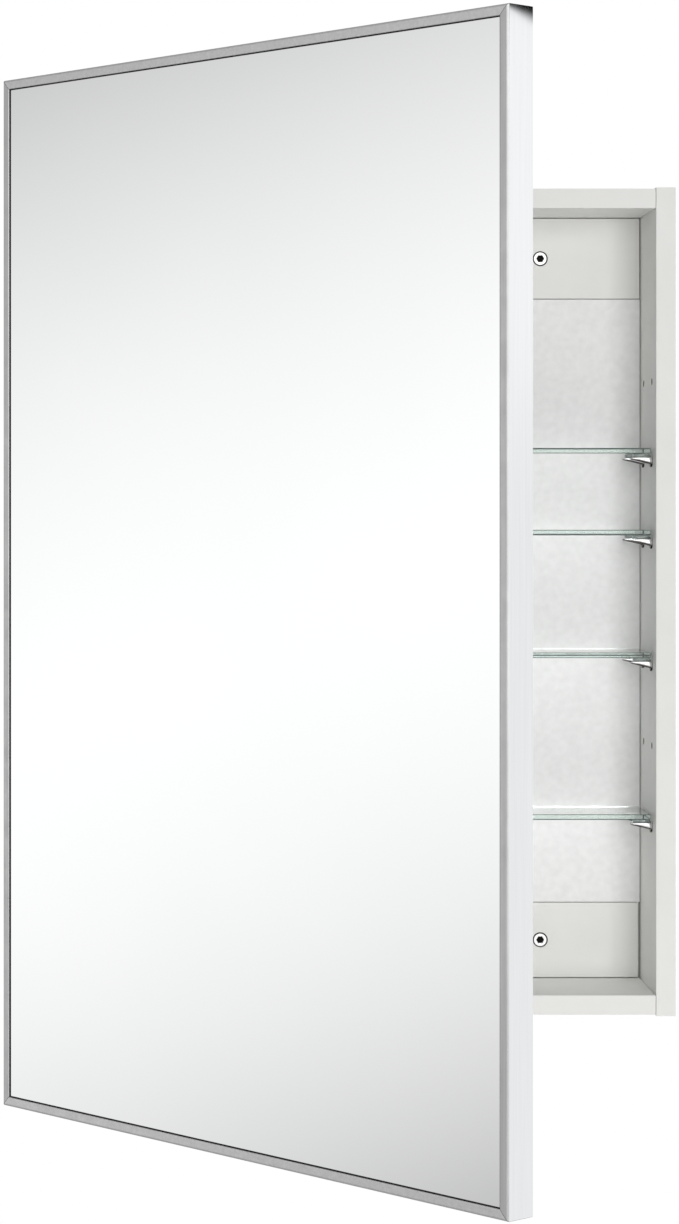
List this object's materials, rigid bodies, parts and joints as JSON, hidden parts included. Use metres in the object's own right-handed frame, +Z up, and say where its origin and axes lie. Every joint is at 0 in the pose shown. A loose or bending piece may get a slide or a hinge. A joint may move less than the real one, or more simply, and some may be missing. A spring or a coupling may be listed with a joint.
{
  "type": "medicine cabinet with mirror door",
  "caption": "Shallow wall cabinet with glass shelves behind one tall framed mirror door, hung at its left edge on concealed cup hinges.",
  "frame": {"origin": "centre of the cabinet's rear face, where it meets the wall", "axes": "+Z up, +Y into the wall, -Y towards the room, +X to the right as seen from the room; the door is hinged at the left and stands open 48.2 degrees"},
  "size_m": [0.4944, 0.4858, 0.75],
  "materials": {
    "carcass_laminate": "satin light grey melamine laminate on board",
    "back_board": "matt pale grey faced board",
    "shelf_glass": "clear float glass with polished green edges",
    "mirror": "silvered glass",
    "polished_frame": "bright polished",
    "chrome": "bright chrome plate",
    "nickel_steel": "nickel plated steel",
    "door_board": "satin light grey melamine laminate on board",
    "clear_plastic": "soft clear plastic"
  },
  "bodies": {
    "cabinet": {"side_panel_left": "carcass_laminate", "side_panel_right": "carcass_laminate", "top_panel": "carcass_laminate", "bottom_panel": "carcass_laminate", "back_panel": "back_board", "upper_mounting_rail": "carcass_laminate", "lower_mounting_rail": "carcass_laminate", "upper_rail_screw_left": "nickel_steel", "upper_rail_screw_right": "nickel_steel", "lower_rail_screw_left": "nickel_steel", "lower_rail_screw_right": "nickel_steel", "carcass_screw_top_left_front": "nickel_steel", "carcass_screw_top_left_rear": "nickel_steel", "carcass_screw_bottom_left_front": "nickel_steel", "carcass_screw_bottom_left_rear": "nickel_steel", "carcass_screw_top_right_front": "nickel_steel", "carcass_screw_top_right_rear": "nickel_steel", "carcass_screw_bottom_right_front": "nickel_steel", "carcass_screw_bottom_right_rear": "nickel_steel", "glass_shelf_1": "shelf_glass", "glass_shelf_2": "shelf_glass", "glass_shelf_3": "shelf_glass", "glass_shelf_4": "shelf_glass", "shelf_support_1_left_front": "chrome", "shelf_support_1_left_rear": "chrome", "shelf_support_1_right_front": "chrome", "shelf_support_1_right_rear": "chrome", "shelf_support_2_left_front": "chrome", "shelf_support_2_left_rear": "chrome", "shelf_support_2_right_front": "chrome", "shelf_support_2_right_rear": "chrome", "shelf_support_3_left_front": "chrome", "shelf_support_3_left_rear": "chrome", "shelf_support_3_right_front": "chrome", "shelf_support_3_right_rear": "chrome", "shelf_support_4_left_front": "chrome", "shelf_support_4_left_rear": "chrome", "shelf_support_4_right_front": "chrome", "shelf_support_4_right_rear": "chrome", "hinge_plate_upper": "nickel_steel", "hinge_plate_lower": "nickel_steel", "hinge_arm_upper": "nickel_steel", "hinge_arm_lower": "nickel_steel"},
    "door": {"mirror_glass": "mirror", "door_backing_board": "door_board", "frame_bar_top": "polished_frame", "frame_bar_bottom": "polished_frame", "frame_bar_left": "polished_frame", "frame_bar_right": "polished_frame", "hinge_cup_upper": "nickel_steel", "hinge_cup_lower": "nickel_steel", "hinge_pin_upper": "nickel_steel", "hinge_pin_lower": "nickel_steel", "door_bumper_upper": "clear_plastic", "door_bumper_lower": "clear_plastic"}
  },
  "joints": [
    {"name": "door_swing", "type": "hinge", "parent": "cabinet", "child": "door", "pos_m": [-0.2412, -0.1118, 0], "axis": [0, 0, -1], "range_deg": [-48.2, 46.8]}
  ]
}
